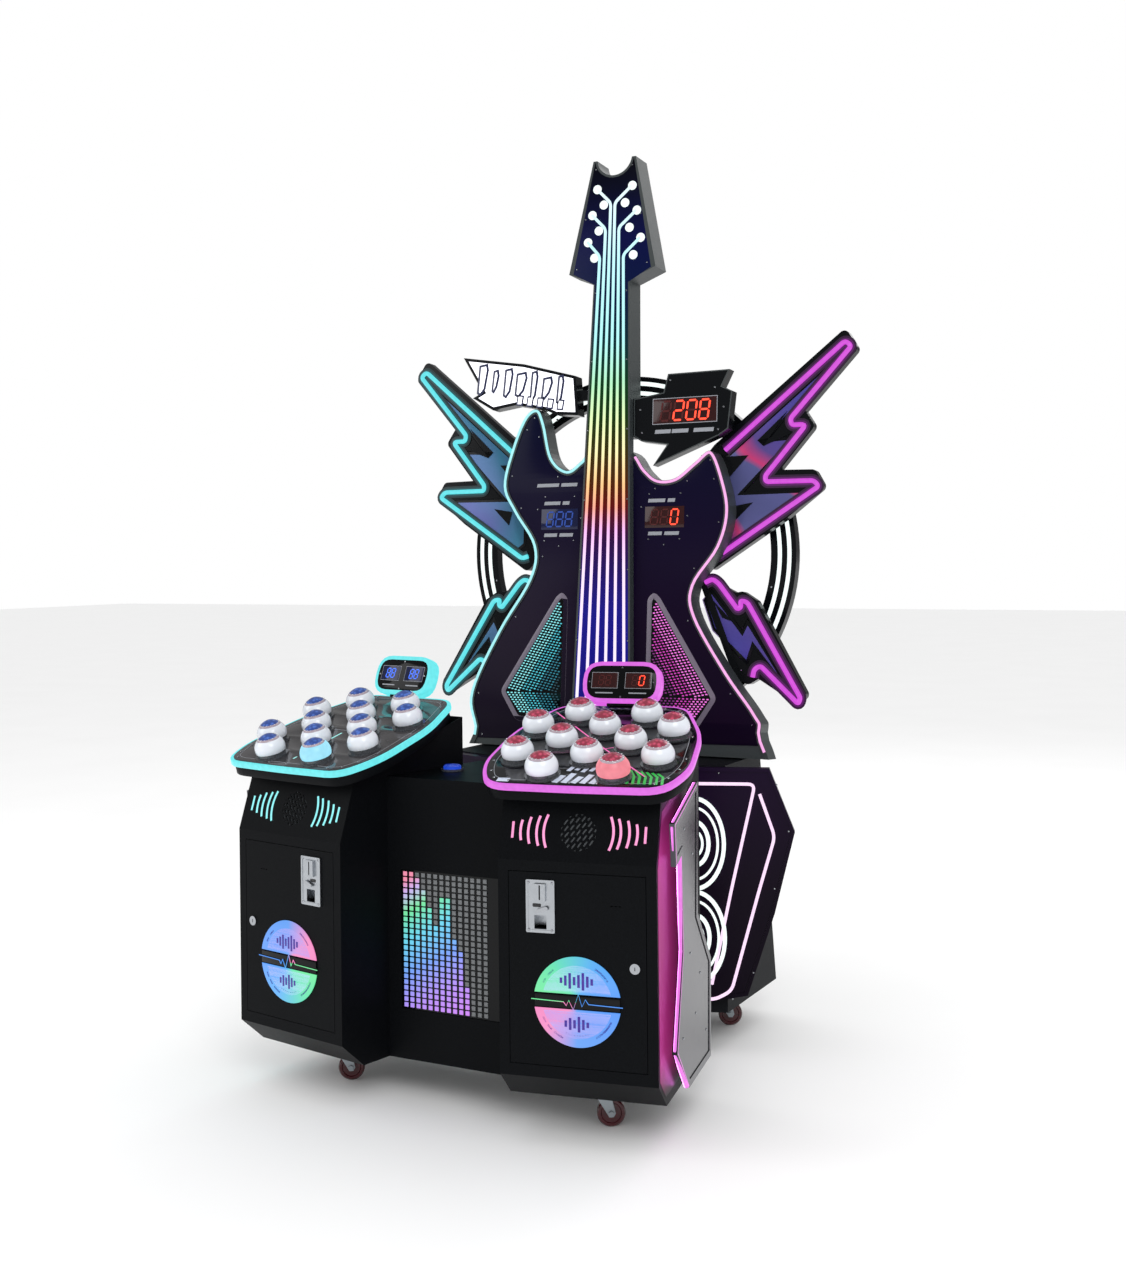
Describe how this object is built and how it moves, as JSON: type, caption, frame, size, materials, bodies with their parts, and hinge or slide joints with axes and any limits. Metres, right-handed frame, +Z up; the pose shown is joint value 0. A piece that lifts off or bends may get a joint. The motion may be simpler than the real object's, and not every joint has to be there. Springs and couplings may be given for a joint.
{
  "type": "two-player rhythm machine",
  "caption": "Two toed-out button consoles joined by a middle cabinet, with a tall lit guitar, wing panels and halo ring on a base cabinet behind.",
  "frame": {"origin": "on the floor, under the middle of the machine", "axes": "+X to the player's right, +Y to the back of the machine, +Z up"},
  "size_m": [1.4084, 1.2285, 2.4467],
  "materials": {
    "black_powder_coat": "black fine-textured powder coat",
    "deck_acrylic": "printed acrylic over a black tray",
    "button_plastic": "grey moulded nylon",
    "dome_white": "translucent white polycarbonate",
    "start_blue": "lit blue polycarbonate",
    "start_red": "lit red polycarbonate",
    "zinc_plate": "satin nickel-plated zinc",
    "pod_plastic": "lit acrylic frame",
    "side_acrylic": "grey mirror acrylic",
    "matrix_acrylic": "lit pixel panel",
    "inner_grey": "grey inner units",
    "frame_steel": "black painted steel",
    "panel_dark": "dark printed panel on a foam core",
    "guitar_print": "dark blue printed panel on a foam core",
    "wing_print": "printed acrylic on a foam core",
    "ring_black": "black acrylic ring",
    "zinc_fork": "zinc-plated pressed steel",
    "wheel_pu": "maroon polyurethane"
  },
  "bodies": {
    "root": {"console_shell_left": "black_powder_coat", "console_shell_right": "black_powder_coat", "deck_left": "deck_acrylic", "deck_right": "deck_acrylic", "button_housings": "button_plastic", "display_pods": "pod_plastic", "side_panels": "side_acrylic", "middle_cabinet": "black_powder_coat", "matrix_panel": "matrix_acrylic", "base_cabinet": "black_powder_coat", "link_frame": "frame_steel", "inner_units": "inner_grey", "speaker_panels": "panel_dark", "guitar_body": "guitar_print", "guitar_neck": "guitar_print", "wings": "wing_print", "halo_ring": "ring_black", "boards": "ring_black"},
    "dome_left_1": {"dome_left_1": "dome_white"},
    "dome_left_2": {"dome_left_2": "dome_white"},
    "dome_left_3": {"dome_left_3": "dome_white"},
    "dome_left_4": {"dome_left_4": "dome_white"},
    "dome_left_5": {"dome_left_5": "dome_white"},
    "dome_left_6": {"dome_left_6": "dome_white"},
    "dome_left_7": {"dome_left_7": "dome_white"},
    "dome_left_8": {"dome_left_8": "dome_white"},
    "dome_left_9": {"dome_left_9": "dome_white"},
    "dome_left_10": {"dome_left_10": "dome_white"},
    "dome_left_11": {"dome_left_11": "dome_white"},
    "dome_left_12": {"dome_left_12": "dome_white"},
    "start_button_left": {"start_button_left": "start_blue"},
    "door_left": {"door_left": "black_powder_coat", "coin_unit_left": "zinc_plate"},
    "door_lock_left": {"door_lock_left": "zinc_plate"},
    "return_lever_left": {"return_lever_left": "zinc_plate"},
    "dome_right_1": {"dome_right_1": "dome_white"},
    "dome_right_2": {"dome_right_2": "dome_white"},
    "dome_right_3": {"dome_right_3": "dome_white"},
    "dome_right_4": {"dome_right_4": "dome_white"},
    "dome_right_5": {"dome_right_5": "dome_white"},
    "dome_right_6": {"dome_right_6": "dome_white"},
    "dome_right_7": {"dome_right_7": "dome_white"},
    "dome_right_8": {"dome_right_8": "dome_white"},
    "dome_right_9": {"dome_right_9": "dome_white"},
    "dome_right_10": {"dome_right_10": "dome_white"},
    "dome_right_11": {"dome_right_11": "dome_white"},
    "dome_right_12": {"dome_right_12": "dome_white"},
    "start_button_right": {"start_button_right": "start_red"},
    "door_right": {"door_right": "black_powder_coat", "coin_unit_right": "zinc_plate"},
    "door_lock_right": {"door_lock_right": "zinc_plate"},
    "return_lever_right": {"return_lever_right": "zinc_plate"},
    "caster_fork_front_left": {"caster_fork_front_left": "zinc_fork"},
    "caster_wheel_front_left": {"caster_wheel_front_left": "wheel_pu"},
    "caster_fork_front_right": {"caster_fork_front_right": "zinc_fork"},
    "caster_wheel_front_right": {"caster_wheel_front_right": "wheel_pu"},
    "caster_fork_rear_left": {"caster_fork_rear_left": "zinc_fork"},
    "caster_wheel_rear_left": {"caster_wheel_rear_left": "wheel_pu"},
    "caster_fork_rear_right": {"caster_fork_rear_right": "zinc_fork"},
    "caster_wheel_rear_right": {"caster_wheel_rear_right": "wheel_pu"}
  },
  "joints": [
    {"name": "press_dome_left_1", "type": "slide", "parent": "root", "child": "dome_left_1", "axis": [0.0518, 0.2741, -0.9603], "range_m": [0, 0.005], "stiffness_N_per_m": 300, "springref_m": -0.012},
    {"name": "press_dome_left_2", "type": "slide", "parent": "root", "child": "dome_left_2", "axis": [0.0518, 0.2741, -0.9603], "range_m": [0, 0.005], "stiffness_N_per_m": 300, "springref_m": -0.012},
    {"name": "press_dome_left_3", "type": "slide", "parent": "root", "child": "dome_left_3", "axis": [0.0518, 0.2741, -0.9603], "range_m": [0, 0.005], "stiffness_N_per_m": 300, "springref_m": -0.012},
    {"name": "press_dome_left_4", "type": "slide", "parent": "root", "child": "dome_left_4", "axis": [0.0518, 0.2741, -0.9603], "range_m": [0, 0.005], "stiffness_N_per_m": 300, "springref_m": -0.012},
    {"name": "press_dome_left_5", "type": "slide", "parent": "root", "child": "dome_left_5", "axis": [0.0518, 0.2741, -0.9603], "range_m": [0, 0.005], "stiffness_N_per_m": 300, "springref_m": -0.012},
    {"name": "press_dome_left_6", "type": "slide", "parent": "root", "child": "dome_left_6", "axis": [0.0518, 0.2741, -0.9603], "range_m": [0, 0.005], "stiffness_N_per_m": 300, "springref_m": -0.012},
    {"name": "press_dome_left_7", "type": "slide", "parent": "root", "child": "dome_left_7", "axis": [0.0518, 0.2741, -0.9603], "range_m": [0, 0.005], "stiffness_N_per_m": 300, "springref_m": -0.012},
    {"name": "press_dome_left_8", "type": "slide", "parent": "root", "child": "dome_left_8", "axis": [0.0518, 0.2741, -0.9603], "range_m": [0, 0.005], "stiffness_N_per_m": 300, "springref_m": -0.012},
    {"name": "press_dome_left_9", "type": "slide", "parent": "root", "child": "dome_left_9", "axis": [0.0518, 0.2741, -0.9603], "range_m": [0, 0.005], "stiffness_N_per_m": 300, "springref_m": -0.012},
    {"name": "press_dome_left_10", "type": "slide", "parent": "root", "child": "dome_left_10", "axis": [0.0518, 0.2741, -0.9603], "range_m": [0, 0.005], "stiffness_N_per_m": 300, "springref_m": -0.012},
    {"name": "press_dome_left_11", "type": "slide", "parent": "root", "child": "dome_left_11", "axis": [0.0518, 0.2741, -0.9603], "range_m": [0, 0.005], "stiffness_N_per_m": 300, "springref_m": -0.012},
    {"name": "press_dome_left_12", "type": "slide", "parent": "root", "child": "dome_left_12", "axis": [0.0518, 0.2741, -0.9603], "range_m": [0, 0.005], "stiffness_N_per_m": 300, "springref_m": -0.012},
    {"name": "press_start_button_left", "type": "slide", "parent": "root", "child": "start_button_left", "axis": [0, 0, -1], "range_m": [0, 0.004], "stiffness_N_per_m": 300, "springref_m": -0.012},
    {"name": "door_left_hinge", "type": "hinge", "parent": "root", "child": "door_left", "pos_m": [-0.24583, -0.57755, 0.3965], "axis": [0, 0, 1], "range_deg": [0, 105]},
    {"name": "door_lock_left_turn", "type": "hinge", "parent": "door_left", "child": "door_lock_left", "pos_m": [-0.52072, -0.52968, 0.41], "axis": [0.1857, 0.9826, 0], "range_deg": [0, 90]},
    {"name": "return_lever_left_turn", "type": "hinge", "parent": "door_left", "child": "return_lever_left", "pos_m": [-0.3263, -0.57252, 0.53], "axis": [0.1857, 0.9826, 0], "range_deg": [0, 25], "stiffness_Nm_per_rad": 0.05, "springref_deg": -28.65},
    {"name": "press_dome_right_1", "type": "slide", "parent": "root", "child": "dome_right_1", "axis": [-0.0518, 0.2741, -0.9603], "range_m": [0, 0.005], "stiffness_N_per_m": 300, "springref_m": -0.012},
    {"name": "press_dome_right_2", "type": "slide", "parent": "root", "child": "dome_right_2", "axis": [-0.0518, 0.2741, -0.9603], "range_m": [0, 0.005], "stiffness_N_per_m": 300, "springref_m": -0.012},
    {"name": "press_dome_right_3", "type": "slide", "parent": "root", "child": "dome_right_3", "axis": [-0.0518, 0.2741, -0.9603], "range_m": [0, 0.005], "stiffness_N_per_m": 300, "springref_m": -0.012},
    {"name": "press_dome_right_4", "type": "slide", "parent": "root", "child": "dome_right_4", "axis": [-0.0518, 0.2741, -0.9603], "range_m": [0, 0.005], "stiffness_N_per_m": 300, "springref_m": -0.012},
    {"name": "press_dome_right_5", "type": "slide", "parent": "root", "child": "dome_right_5", "axis": [-0.0518, 0.2741, -0.9603], "range_m": [0, 0.005], "stiffness_N_per_m": 300, "springref_m": -0.012},
    {"name": "press_dome_right_6", "type": "slide", "parent": "root", "child": "dome_right_6", "axis": [-0.0518, 0.2741, -0.9603], "range_m": [0, 0.005], "stiffness_N_per_m": 300, "springref_m": -0.012},
    {"name": "press_dome_right_7", "type": "slide", "parent": "root", "child": "dome_right_7", "axis": [-0.0518, 0.2741, -0.9603], "range_m": [0, 0.005], "stiffness_N_per_m": 300, "springref_m": -0.012},
    {"name": "press_dome_right_8", "type": "slide", "parent": "root", "child": "dome_right_8", "axis": [-0.0518, 0.2741, -0.9603], "range_m": [0, 0.005], "stiffness_N_per_m": 300, "springref_m": -0.012},
    {"name": "press_dome_right_9", "type": "slide", "parent": "root", "child": "dome_right_9", "axis": [-0.0518, 0.2741, -0.9603], "range_m": [0, 0.005], "stiffness_N_per_m": 300, "springref_m": -0.012},
    {"name": "press_dome_right_10", "type": "slide", "parent": "root", "child": "dome_right_10", "axis": [-0.0518, 0.2741, -0.9603], "range_m": [0, 0.005], "stiffness_N_per_m": 300, "springref_m": -0.012},
    {"name": "press_dome_right_11", "type": "slide", "parent": "root", "child": "dome_right_11", "axis": [-0.0518, 0.2741, -0.9603], "range_m": [0, 0.005], "stiffness_N_per_m": 300, "springref_m": -0.012},
    {"name": "press_dome_right_12", "type": "slide", "parent": "root", "child": "dome_right_12", "axis": [-0.0518, 0.2741, -0.9603], "range_m": [0, 0.005], "stiffness_N_per_m": 300, "springref_m": -0.012},
    {"name": "press_start_button_right", "type": "slide", "parent": "root", "child": "start_button_right", "axis": [0, 0, -1], "range_m": [0, 0.004], "stiffness_N_per_m": 300, "springref_m": -0.012},
    {"name": "door_right_hinge", "type": "hinge", "parent": "root", "child": "door_right", "pos_m": [0.24583, -0.57755, 0.3965], "axis": [0, 0, -1], "range_deg": [0, 105]},
    {"name": "door_lock_right_turn", "type": "hinge", "parent": "door_right", "child": "door_lock_right", "pos_m": [0.52072, -0.52968, 0.41], "axis": [0.1857, -0.9826, 0], "range_deg": [0, 90]},
    {"name": "return_lever_right_turn", "type": "hinge", "parent": "door_right", "child": "return_lever_right", "pos_m": [0.3263, -0.57252, 0.53], "axis": [0.1857, -0.9826, 0], "range_deg": [0, 25], "stiffness_Nm_per_rad": 0.05, "springref_deg": -28.65},
    {"name": "swivel_front_left", "type": "hinge", "parent": "root", "child": "caster_fork_front_left", "pos_m": [-0.36099, -0.3899, 0.095], "axis": [0, 0, 1], "continuous": true},
    {"name": "roll_front_left", "type": "hinge", "parent": "caster_fork_front_left", "child": "caster_wheel_front_left", "pos_m": [-0.33804, -0.3777, 0.0325], "axis": [0.4695, -0.8829, 0], "continuous": true},
    {"name": "swivel_front_right", "type": "hinge", "parent": "root", "child": "caster_fork_front_right", "pos_m": [0.36099, -0.3899, 0.095], "axis": [0, 0, 1], "continuous": true},
    {"name": "roll_front_right", "type": "hinge", "parent": "caster_fork_front_right", "child": "caster_wheel_front_right", "pos_m": [0.38395, -0.3777, 0.0325], "axis": [0.4695, -0.8829, 0], "continuous": true},
    {"name": "swivel_rear_left", "type": "hinge", "parent": "root", "child": "caster_fork_rear_left", "pos_m": [-0.32, 0.44, 0.095], "axis": [0, 0, 1], "continuous": true},
    {"name": "roll_rear_left", "type": "hinge", "parent": "caster_fork_rear_left", "child": "caster_wheel_rear_left", "pos_m": [-0.29704, 0.45221, 0.0325], "axis": [0.4695, -0.8829, 0], "continuous": true},
    {"name": "swivel_rear_right", "type": "hinge", "parent": "root", "child": "caster_fork_rear_right", "pos_m": [0.32, 0.44, 0.095], "axis": [0, 0, 1], "continuous": true},
    {"name": "roll_rear_right", "type": "hinge", "parent": "caster_fork_rear_right", "child": "caster_wheel_rear_right", "pos_m": [0.34296, 0.45221, 0.0325], "axis": [0.4695, -0.8829, 0], "continuous": true}
  ]
}
